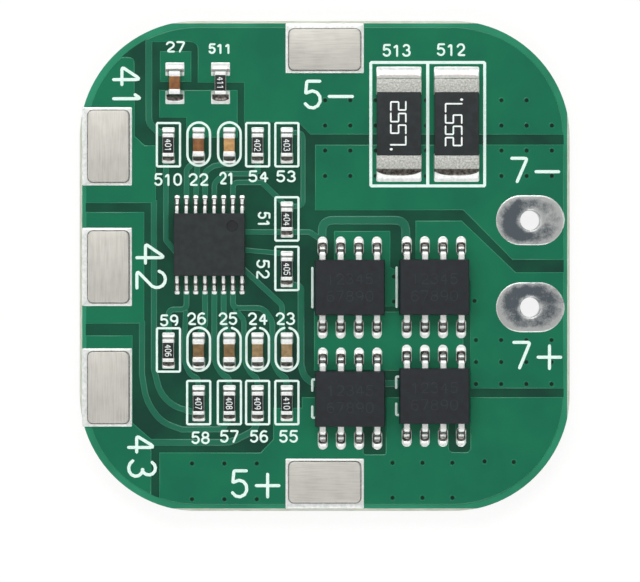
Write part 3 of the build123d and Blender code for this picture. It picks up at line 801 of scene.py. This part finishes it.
def legendPrint():
    top = board["copperMaskTop"] + legend["rise"]
    base = board["bareMaskTop"] - legend["sink"]
    corner = legend["corner"]
    closed, gapped, bars = [], [], []
    for number in range(1, 11):
        x, y = middleOf(f"resistor_{number}")
        closed.append(flatRing(x, y + legend["resistorUp"], *legend["resistor"], corner, 0, 1))
    wide, reach = legend["capacitor"]
    for number in range(1, 7):
        x, y = middleOf(f"capacitor_{number}")
        y += legend["capacitorUp"]
        missed = legend["missed"] if number > 3 else 0
        ring = arc(x, y + reach, wide, wide, 90 + missed, 180) + arc(x, y - reach, wide, wide, 180, 360, 16)
        ring += arc(x, y + reach, wide, wide, 0, 90 - missed)
        if missed:
            gapped.append(ring)
        else:
            closed.append(ring[:-1])
    x, y = middleOf("shunt_1")
    x = (x + middleOf("shunt_2")[0]) / 2
    shuntFrame = flatRing(x, y, *legend["shunts"], corner, 0, 1)
    divider = [(x, y - legend["divider"] / 2), (x, y + legend["divider"] / 2)]
    for number in range(1, 5):
        x, y = middleOf(f"mosfet_{number}")
        x -= legend["barLeft"]
        if number < 3:
            bars.append([(x, y - legend["barHalf"]), (x, y + legend["barHalf"])])
            continue
        for side in (1, -1):
            far, near = y + side * legend["hookFar"], y + side * legend["hookNear"]
            hook = [(x + legend["hookIn"], far), (x - legend["hookOut"], far), (x - legend["hookOut"], near)]
            bars.append(rounded(hook, legend["hookBend"]))
    small, big = legend["smallStroke"], legend["bigStroke"]
    smallText = [line for label in smallLabels for line in textStrokes(*label, edge=small / 2)]
    bigText = [line for label in bigLabels for line in textStrokes(*label, gap=0.0, edge=big / 2)]
    inkPiece(
        "legend", inkMaterial,
        inkMesh(closed, legend["stroke"], base, top, True),
        inkMesh(gapped, legend["stroke"], base, top),
        inkMesh([shuntFrame], legend["frameStroke"], base, top, True),
        inkMesh([divider], legend["frameStroke"], base, top),
        inkMesh(bars, legend["stroke"], base, top),
        inkMesh(smallText, small, base, top),
        inkMesh(bigText, big, base, top),
    )


legendPrint()
print("legend made")


# Solder joints

solder = {
    "sink": 0.03,  # how far it starts below the copper's face
    "film": 0.05,
    "rim": 0.05,  # width of its rounded edge
    "lip": 0.04,  # height of that edge
    "rows": (7, 5, 6),  # under the part, in the hollow, and out to the rim
    "climb": 0.72,  # share of a chip's height that it climbs
}


def addJoint(shape, x, y, side, joint):
    # Solder on a pad: a level film that climbs in a hollow fillet to the foot or cap it holds. From
    # the toe to a bowed line the fillet has painted shade, a second material, inside a bright rim, and
    # its first row may have a third, a line of painted shade at the foot or cap.
    base, film = board["copperTop"] - solder["sink"], board["copperTop"] + solder["film"]
    inner, outer, heel, toe = joint["inner"], joint["outer"], joint["heel"], joint["toe"]
    half, radius, held = joint["width"] / 2, joint["round"], joint["held"] / 2
    spans, columns = solder["rows"], joint["columns"]
    rows = sum(spans)
    top, bottom, across = [], [], []
    for row in range(rows + 1):
        for column in range(columns + 1):
            turn = math.sin(math.pi * (column / columns - 0.5))
            rim = toe + (outer - toe) * joint["dark"] * (1 - joint["bow"] * abs(turn) ** 3)
            if row <= spans[0]:
                along = inner + (toe - inner) * (1 - math.cos(math.pi / 2 * row / spans[0]))
            elif row <= spans[0] + spans[1]:
                along = toe + (rim - toe) * (row - spans[0]) / spans[1]
            else:
                along = rim + (outer - rim) * math.sin(math.pi / 2 * (row - rows + spans[2]) / spans[2])
            overEnd = max(0, along - (outer - radius), inner + radius - along) / radius
            reach = half - radius + radius * math.sqrt(max(0, 1 - overEnd ** 2))
            beyond = max(0, along - toe) / (outer - toe) + max(0, heel - along) / (heel - inner + 0.01)
            beside = max(0, abs(turn * reach) - held) / (half - held + 0.05)
            away = min(1, math.hypot(beyond, beside))
            z = film + (joint["rise"] - film) * (1 - away) ** joint["hollow"]
            near = min(1, min(along - inner, outer - along, reach - abs(turn * reach)) / solder["rim"])
            z = film - solder["lip"] + (z - film + solder["lip"]) * math.sqrt(max(0, 1 - (1 - near) ** 2))
            top.append((x + turn * reach, y + side * along, z))
            bottom.append((x + turn * reach, y + side * along, base))
            across.append(abs(turn * reach))
    first = len(shape["points"])
    shape["points"] += top + bottom
    count = (rows + 1) * (columns + 1)
    width = columns + 1
    for row in range(rows):
        for column in range(columns):
            corner = row * width + column
            middle = (across[corner] + across[corner + 1]) / 2
            a = first + corner
            quad = (a, a + 1, a + 1 + width, a + width)
            under = tuple(index + count for index in reversed(quad))
            hollow = spans[0] <= row < spans[0] + spans[1]
            hollow = hollow and joint["edge"] <= column < columns - joint["edge"]
            flank = row < spans[0] and held < middle < half - joint.get("flank", half)
            if side < 0:
                quad, under = quad[::-1], under[::-1]
            shape["faces"] += [quad, under]
            # painted shade: the hollow, the flank beside a foot and the first hollow row take shaded
            # materials
            finish = joint.get("shadeRow", joint["finish"]) if row == spans[0] else joint["finish"]
            shape["marks"] += [finish if hollow or flank else 0, 0]
    loop = [first + column for column in range(width)]
    loop += [first + row * width + columns for row in range(1, rows + 1)]
    loop += [first + rows * width + column for column in reversed(range(columns))]
    loop += [first + row * width for row in reversed(range(1, rows))]
    for here, after in zip(loop, loop[1:] + loop[:1]):
        wall = (here, here + count, after + count, after)
        shape["faces"].append(wall if side > 0 else wall[::-1])
        shape["marks"].append(0)


def finishJoints(shape, name, node, count=3):
    finishShape(shape, name, jointMaterials[:count], [node], 50)


def addEnds(caps, joints, x, y, chip, joint, lower):
    # the two end caps of a chip and their joints; the lower joint, on the side away from the key lamp, takes
    # the darker painted shade
    seat, edge = board["seat"], chip["capEdge"]
    high = seat + chip["height"] - chip["capDrop"]
    for side in (1, -1):
        end = y + side * (chip["length"] - chip["band"]) / 2
        addBlock(caps, x, end, chip["width"], chip["band"], seat, high, edge, edge, 0, 0.03)
        own = dict(joint, rise=seat + chip["height"] * solder["climb"])
        if side < 0:
            own.update(lower)
        addJoint(joints, x, y, side, own)


chip = {"width": 0.8, "length": 1.6, "capDrop": 0.0, "capEdge": 0.05}
chips = {
    "resistor": dict(
        chip, count=11, height=0.45, band=0.27, body=(0.77, 1.54), glaze=(0.74, 1.1), number=(0.42, 0.8),
    ),
    "capacitor": dict(chip, count=7, height=0.75, band=0.36, body=(0.76, 1.54)),
}
# painted shade: the upper joints take mid grey shaded solder in the hollow, and the lower ones dark shaded
# solder over a wider share
chipJoint = {
    "inner": 0.5, "outer": 1.27, "heel": 0.5, "toe": 0.79, "width": 0.9, "round": 0.1, "held": 0.78,
    "hollow": 4.2, "columns": 12, "dark": 0.3, "bow": 0.0, "edge": 1, "finish": 2,
}
lowerChipJoint = {"hollow": 2.6, "dark": 0.68, "bow": 0.5, "edge": 2, "finish": 1}
wideChipJoint = dict(chipJoint, outer=1.47, width=1.35, round=0.08)


def chipPieces():
    seat = board["seat"]
    joints, caps, marks = newShape(), {}, []
    ceramics = [darkCeramic, paleCeramic, duskCeramic, duskCeramic, greyCeramic, greyCeramic, darkCeramic]
    for kind, chip in chips.items():
        caps[kind] = newShape()
        for number in range(1, chip["count"] + 1):
            node = f"{kind}_{number}"
            x, y = middleOf(node)
            top = seat + chip["height"]
            body = newShape()
            if kind == "resistor":
                addBlock(body, x, y, *chip["body"], seat + 0.02, top - 0.03, 0.015, 0.02)
                addBlock(body, x, y, *chip["glaze"], top - 0.035, top + 0.005, 0.02, 0.04, 1)
                finishShape(body, node + "_body", [aluminaMaterial, glazeMaterial], [node])
                wide, long = chip["number"]
                box = (x - wide / 2, x + wide / 2, y - long / 2, y + long / 2)
                marks += textStrokes(str(400 + number), *box, -90)
            else:
                addBlock(body, x, y, *chip["body"], seat + 0.02, top - 0.025, 0.05, 0.05, 0, 0.04)
                finishShape(body, node + "_body", [ceramics[number - 1]], [node])
            joint = wideChipJoint if number == chip["count"] else chipJoint
            addEnds(caps[kind], joints, x, y, chip, joint, lowerChipJoint)
    for kind in chips:
        finishShape(caps[kind], kind + "EndCaps", [platingMaterial], [kind + "_end_caps"])
    finishJoints(joints, "chipSolder", "chip_solder")
    top = seat + chips["resistor"]["height"] + 0.012
    inkPiece("resistorNumbers", markMaterial, inkMesh(marks, 0.06, top - 0.02, top))


chipPieces()
print("chips made")


# Shunts

shunt = {
    "width": 3.15, "length": 6.3, "height": 0.6, "band": 0.95, "capDrop": 0.005, "capEdge": 0.06,
    "body": (3.08, 6.2), "coat": 3.1, "coatLap": 0.01,
    # boxes of the numbers, which turn down and up, and the dots that tell them apart
    "numbers": (("2557", 4.56, 5.73, 8.4, 11.52, -90), ("2557", 8.39, 9.64, 8.35, 11.39, 90)),
    "dots": [[(4.64, 8.15), (4.66, 8.15)], [(9.56, 11.62), (9.58, 11.62)]],
    "stroke": 0.13, "dot": 0.2,
}
# painted shade: the upper fillets take pale shaded solder with a mid grey row at the cap, and the lower ones
# dark shaded solder
shuntJoint = {
    "inner": 2.0, "outer": 4.05, "heel": 2.0, "toe": 3.13, "width": 3.2, "round": 0.14, "held": 3.1,
    "hollow": 3.2, "columns": 24, "dark": 0.5, "bow": 0.6, "edge": 1, "finish": 3, "shadeRow": 2,
}
lowerShuntJoint = {"hollow": 1.9, "dark": 0.52, "bow": 0.65, "finish": 1, "shadeRow": 1}


def shuntPieces():
    seat = board["seat"]
    top = seat + shunt["height"]
    caps, joints, marks = newShape(), newShape(), []
    for number in (1, 2):
        node = f"shunt_{number}"
        x, y = middleOf(node)
        body = newShape()
        addBlock(body, x, y, *shunt["body"], seat + 0.03, top - 0.05, 0.02, 0.04)
        coat = shunt["length"] - 2 * shunt["band"] + 2 * shunt["coatLap"]
        addBlock(body, x, y, shunt["coat"], coat, seat + 0.05, top + 0.015, 0.05, 0.06, 1)
        finishShape(body, node + "_body", [aluminaMaterial, shuntMaterial], [node])
        addEnds(caps, joints, x, y, shunt, shuntJoint, lowerShuntJoint)
    for box in shunt["numbers"]:
        marks += textStrokes(*box, style=squareSigns, edge=0.06)
    finishShape(caps, "shuntEndCaps", [bandMaterial], ["shunt_end_caps"])
    finishJoints(joints, "shuntSolder", "shunt_solder", 4)
    top += 0.022
    numbers = inkMesh(marks, shunt["stroke"], top - 0.02, top)
    inkPiece("shuntNumbers", markMaterial, numbers, inkMesh(shunt["dots"], shunt["dot"], top - 0.02, top))


shuntPieces()
print("shunts made")


# Moulded packages and their leads

transistor = {
    "length": 4.9, "width": 3.9, "height": 1.5, "standoff": 0.12, "span": 6.0, "pitch": 1.27, "count": 4,
    "leadWidth": 0.42, "leadThickness": 0.2, "draft": 7, "shoulder": 2.44, "run": 0.2,
}
# painted shade: the hollow and the flanks beside each foot take the dark shaded solder
transistorJoint = {
    "inner": 2.15, "outer": 3.58, "heel": 2.92, "toe": 2.92, "width": 0.72, "round": 0.35, "held": 0.42,
    "hollow": 2.6, "rise": 1.86, "columns": 16, "dark": 0.4, "bow": 0.95, "edge": 3, "finish": 1,
    "flank": 0.07,
}
controller = {
    "length": 5.0, "width": 4.4, "height": 1.0, "standoff": 0.1, "span": 6.4, "pitch": 0.65, "count": 8,
    "leadWidth": 0.22, "leadThickness": 0.13, "draft": 7, "shoulder": 2.68, "run": 0.14,
    "dimple": 0.4, "dimpleDepth": 0.06, "dimpleInset": 0.9,
}
# painted shade: the hollow and the flanks beside each foot take the dark shaded solder
controllerJoint = {
    "inner": 2.4, "outer": 3.48, "heel": 2.8, "toe": 3.2, "width": 0.38, "round": 0.12, "held": 0.22,
    "hollow": 2.6, "rise": 1.71, "columns": 10, "dark": 0.25, "bow": 0.3, "edge": 1, "finish": 1,
    "flank": 0.02,
}


def packageBody(shape, x, y, package):
    seat, long, wide = board["seat"], package["length"], package["width"]
    low, high = seat + package["standoff"], seat + package["height"]
    middle = seat + (package["height"] + package["standoff"]) / 2
    half = package["leadThickness"] / 2
    slope = math.tan(math.radians(package["draft"]))
    foot, edge = 0.03, 0.05
    levels = [
        (slope * (middle - half - low) + foot, 0.06, low),
        (slope * (middle - half - low - foot), 0.06, low + foot),
        (0, 0.05, middle - half), (0, 0.05, middle + half),
    ]
    for inset, rise in edgeSteps(edge):
        levels.append((slope * (high - edge - middle - half) + inset, 0.08, high + rise))
    rings = [insetRing(x, y, long, wide, *level) for level in levels]
    addLoft(shape, rings, capped="dimple" not in package)
    if "dimple" in package:
        radius, deep = package["dimple"], package["dimpleDepth"]
        spot = (x + long / 2 - package["dimpleInset"], y + wide / 2 - package["dimpleInset"])
        steps = ((radius, 0), (radius - 0.02, deep - 0.01), (radius - 0.05, deep), (0.05, deep))
        circles = [circle(*spot, reach, high - drop) for reach, drop in steps]
        addLoft(shape, [rings[-1], circles[0]], capped=False)
        addLoft(shape, circles, 1, capped=False)
        addCap(shape, circles[-1], 1)
        addCap(shape, rings[0], 0, under=True)


def addLead(shape, x, y, side, package):
    # a flat strip bent twice, swept along its middle line
    seat = board["seat"]
    thick, wide = package["leadThickness"], package["leadWidth"]
    top = seat + (package["height"] + package["standoff"]) / 2
    foot = seat + thick / 2
    shoulder = package["shoulder"]
    line = rounded(
        [
            (package["width"] / 2 - 0.1, top), (shoulder, top), (shoulder + package["run"], foot),
            (package["span"] / 2, foot),
        ],
        thick * 1.1, steps=5,
    )
    points = [Vector(point) for point in line]
    runs = [(b - a).normalized() for a, b in zip(points, points[1:])]
    ways = [runs[0]] + [(a + b).normalized() for a, b in zip(runs, runs[1:])]
    end = points.pop()
    toe = [(0.3, 1.0), (0.12, 0.88), (0.0, 0.62)]  # the foot narrows to a round toe
    widths = [1.0] * len(points) + [share for back, share in toe]
    points += [end - runs[-1] * back * wide for back, share in toe]
    ways += [runs[-1]] * len(toe)
    edge = thick * 0.22
    profile = [
        (wide / 2 - edge, -thick / 2), (wide / 2, edge - thick / 2), (wide / 2, thick / 2 - edge),
        (wide / 2 - edge, thick / 2), (edge - wide / 2, thick / 2), (-wide / 2, thick / 2 - edge),
        (-wide / 2, edge - thick / 2), (edge - wide / 2, -thick / 2),
    ]
    rings = []
    for point, way, share in zip(points, ways, widths):
        rings.append([
            (x + side * across * share, y + side * (point.x - way.y * up), point.y + way.x * up)
            for across, up in profile
        ])
    first = len(shape["faces"])
    addLoft(shape, rings[::-1])
    # painted shade and reflection: faces that turn down from the shoulder take the dark riser tin
    for index in range(first, len(shape["faces"]) - 2):
        corners = [Vector(shape["points"][corner]) for corner in shape["faces"][index]]
        normal = (corners[2] - corners[0]).cross(corners[3] - corners[1]).normalized()
        high = max(corner.z for corner in corners)
        if abs(normal.z) < 0.75 and abs(normal.y) > 0.3 and high > seat + thick * 1.3:
            shape["marks"][index] = 1


def addPackage(node, package, materials, joints, joint):
    x, y = middleOf(node)
    body, leads = newShape(), newShape()
    packageBody(body, x, y, package)
    finishShape(body, node + "_body", materials, [node], 25)
    for index in range(package["count"]):
        offset = (index - (package["count"] - 1) / 2) * package["pitch"]
        for side in (1, -1):
            addLead(leads, x + offset, y, side, package)
            addJoint(joints, x + offset, y, side, joint)
    metals = [platingMaterial, riserShadeMaterial]
    finishShape(leads, node + "_gullWings", metals, [node + "_leads"])
    return x, y


def packagePieces():
    joints, marks = newShape(), []
    for number in range(1, 5):
        x, y = addPackage(f"mosfet_{number}", transistor, [packageMaterial], joints, transistorJoint)
        marks += textStrokes("12345", x - 1.6, x + 1.6, y + 0.25, y + 0.95)
        marks += textStrokes("67890", x - 1.6, x + 1.6, y - 0.95, y - 0.25)
    top = board["seat"] + transistor["height"] + 0.004
    inkPiece("packageNumbers", faintMaterial, inkMesh(marks, 0.09, top - 0.02, top))
    finishJoints(joints, "mosfetSolder", "mosfet_solder")
    joints = newShape()
    addPackage("protection_chip", controller, [chipMaterial, dimpleMaterial], joints, controllerJoint)
    finishJoints(joints, "protectionChipSolder", "protection_chip_solder")


packagePieces()
print("packages made")


# Nickel tabs on their solder beds

tabs = {
    "corner": 0.35, "edge": 0.05, "padLength": 5.5, "padWidth": 3.5,
    "outward": 0.1,  # the pad lies this much nearer the board's edge than the tab
    # inset from the pad, corner and height of the rings of its solder
    "bed": ((0, 0.08, 0), (0, 0.08, 0.07), (0.06, 0.08, 0.1), (0.14, 0.1, 0.11)),
    # and the same round the tab, where the solder sinks in a thin line with painted shade
    "line": ((-0.16, 0.43, 0.13), (-0.07, 0.38, 0.1), (0.04, 0.33, 0.13), (0.2, 0.25, 0.13)),
}


def tabPieces():
    beds = newShape()
    floor = board["copperTop"] - solder["sink"]
    for node in ("tap_1_tab", "tap_2_tab", "tap_3_tab", "negative_tab", "positive_tab"):
        spot = place(node)
        x, y, sx, sy = spot["x"], spot["y"], spot["sx"], spot["sy"]
        upright = sy > sx
        tab = newShape()
        addBlock(tab, x, y, sx, sy, spot["low"], spot["high"], tabs["edge"], tabs["corner"])
        finishShape(tab, node + "_strip", [nickelUpright if upright else nickelLevel], [node])
        if upright:
            pad = (x - tabs["outward"], y, tabs["padWidth"], tabs["padLength"])
        else:
            pad = (x, y + math.copysign(tabs["outward"], y), tabs["padLength"], tabs["padWidth"])
        rings = []
        for (middleX, middleY, wide, long), levels in ((pad, tabs["bed"]), ((x, y, sx, sy), tabs["line"])):
            for inset, corner, rise in levels:
                rings.append(roundedRing(middleX, middleY, wide - inset, long - inset, corner, floor + rise))
        addLoft(beds, rings[:5], capped=False)
        # painted shade: the thin line round the tab takes the mid grey shaded solder
        addLoft(beds, rings[4:], 2)
        addCap(beds, rings[0], 0, under=True)
    finishJoints(beds, "tabSolder", "tab_solder")


tabPieces()
print("tabs made")


# Oval terminals with a wire hole

terminals = {
    "holeRadius": 0.7, "barrelRadius": 0.86,
    # how much brighter each is on one side, and where that side lies in degrees
    "lit": {"output_minus_terminal": (0.26, 15), "output_plus_terminal": (0.17, -60)},
}


def terminalPieces():
    hole, barrel, steps = terminals["holeRadius"], terminals["barrelRadius"], 12
    laminateTop, copperTop = board["laminateTop"], board["copperTop"]
    for node, (lit, toward) in terminals["lit"].items():
        spot = place(node)
        x, y, sx, sy, top = spot["x"], spot["y"], spot["sx"], spot["sy"], spot["high"]
        levels = ((0, laminateTop), (0, copperTop + 0.01), (0.03, top - 0.03), (0.09, top - 0.01), (0.16, 0))
        ovals = [insetRing(x, y, sx, sy, inset, sy / 2 - inset, z, steps) for inset, z in levels]
        rings = [circle(x, y, barrel, 0.0, steps), circle(x, y, barrel, laminateTop, steps), *ovals[:4]]
        outer, inner = ovals[4], circle(x, y, hole + 0.08, 0, steps)
        for level in range(9):  # the film dips a little between the rim and the hole
            share, z = level / 8, top - 0.004 * abs(1 - level / 4)
            rings.append([
                (a[0] * (1 - share) + b[0] * share, a[1] * (1 - share) + b[1] * share, z)
                for a, b in zip(outer, inner)
            ])
        for radius, z in ((hole + 0.02, top - 0.035), (hole, top - 0.08), (hole, 0.0)):
            rings.append(circle(x, y, radius, z, steps))
        shape = newShape()
        addLoft(shape, rings, closed=True)
        piece = finishShape(shape, node + "_tin", [terminalMaterial], [node], 50)
        bright = piece.data.attributes.new("bright", "FLOAT", "POINT")
        count = len(rings[0])
        for index, value in enumerate(bright.data):
            ring, step = divmod(index, count)
            share = min(1, max(0, (ring - 6) / 8))
            angle = 2 * math.pi * step / count
            # painted light: the side term makes one side of the film brighter, as if lit from there
            side = math.cos(angle - math.radians(toward)) * lit
            rim = (0.38 - 0.2 * math.cos(angle)) * max(0, 1 - share / 0.35) + 0.25 * max(0, share / 0.2 - 4)
            value.value = rim + side * (1 - share * 0.5)


terminalPieces()
print("terminals made")


# Floor, light and camera

def seenRays(tree):
    # one for the rays that see a background itself: from the camera, off metal and through glass
    path = addNode(tree, "LightPath")
    sharp = addNode(
        tree, "Math", {"operation": "MAXIMUM"},
        {0: (path, "Is Glossy Ray"), 1: (path, "Is Transmission Ray")},
    )
    return addNode(
        tree, "Math", {"operation": "MAXIMUM"}, {0: (path, "Is Camera Ray"), 1: (sharp, "Value")}
    )


def lightTable():
    material = newMaterial("whiteCard", 0.9)
    shader(material).inputs["Base Color"].default_value = linear("#F4F4F2")
    seen = seenRays(material)
    # near the board the card still takes its shadow, and further off it is plain white
    where = addNode(material, "TexCoord")
    reach = addNode(material, "VectorMath", {"operation": "LENGTH"}, {0: (where, "Object")})
    far = addNode(
        material, "MapRange",
        {"interpolation_type": "SMOOTHSTEP", "From Min": 0.03, "From Max": 0.2, "To Min": 0.82},
        {"Value": (reach, "Value")},
    )
    share = addNode(
        material, "Math", {"operation": "MULTIPLY"}, {0: (seen, "Value"), 1: (far, "Result")}
    )
    glow = addNode(material, "Emission", {"Color": (1, 1, 1, 1), "Strength": 1.02})
    mix = addNode(
        material, "MixShader", {},
        {"Fac": (share, "Value"), 1: (shader(material), "BSDF"), 2: (glow, "Emission")},
    )
    link(material, mix, "Shader", material.node_tree.nodes["Material Output"], "Surface")
    side = 0.6
    corners = [(-side, -side, 0), (side, -side, 0), (side, side, 0), (-side, side, 0)]
    mesh = bpy.data.meshes.new("floor")
    mesh.from_pydata(corners, [], [(0, 1, 2, 3)])
    mesh.materials.append(material)
    floor = bpy.data.objects.new("floor", mesh)
    bpy.context.scene.collection.objects.link(floor)


def softWorld():
    world = bpy.data.worlds.new("studio")
    bpy.context.scene.world = world
    world.use_nodes = True
    background = world.node_tree.nodes["Background"]
    background.inputs["Color"].default_value = (1, 1, 1, 1)
    # the walls of the studio are white to the eye and to metal, and its ceiling is dim
    direction = addNode(world, "TexCoord")
    split = addNode(world, "SeparateXYZ", {}, {"Vector": (direction, "Generated")})
    ceiling = addNode(
        world, "MapRange",
        {"interpolation_type": "SMOOTHSTEP", "From Min": 0.2, "From Max": 0.5, "To Min": 1.0, "To Max": 0.25},
        {"Value": (split, "Z")},
    )
    seen = seenRays(world)
    strength = addNode(
        world, "MapRange", {"To Min": 0.38},
        {"Value": (seen, "Value"), "To Max": (ceiling, "Result")},
    )
    link(world, strength, "Result", background, "Strength")


def softbox(name, location, width, height, power):
    data = bpy.data.lights.new(name, "AREA")
    data.shape = "RECTANGLE"
    data.size, data.size_y = width, height
    data.energy = power
    lamp = bpy.data.objects.new(name, data)
    lamp.location = location
    lamp.rotation_euler = (-Vector(location)).to_track_quat("-Z", "Y").to_euler()
    bpy.context.scene.collection.objects.link(lamp)


view = {
    "middle": (-0.33, -1.76),  # what the image centre shows, on the board's face
    "width": 44.85,  # of the board's plane across the image
    "distance": 260.0,
}


def camera():
    data = bpy.data.cameras.new("camera")
    data.sensor_width = 36
    data.lens = 36 * view["distance"] / view["width"]
    data.clip_start, data.clip_end = 0.01, 5
    eye = bpy.data.objects.new("camera", data)
    x, y = view["middle"]
    eye.location = (x * mm, y * mm, (board["copperMaskTop"] + view["distance"]) * mm)
    bpy.context.scene.collection.objects.link(eye)
    bpy.context.scene.camera = eye


lightTable()
softWorld()
softbox("keyLight", (-0.03, 0.25, 0.30), 0.26, 0.13, 0.68)
softbox("leftLight", (-0.26, 0.02, 0.30), 0.13, 0.22, 0.24)
softbox("rightLight", (0.26, 0.02, 0.30), 0.13, 0.22, 0.2)
softbox("nearLight", (0.02, -0.25, 0.30), 0.22, 0.12, 0.36)
camera()
bpy.context.scene.view_settings.view_transform = "Standard"
print("stage set")
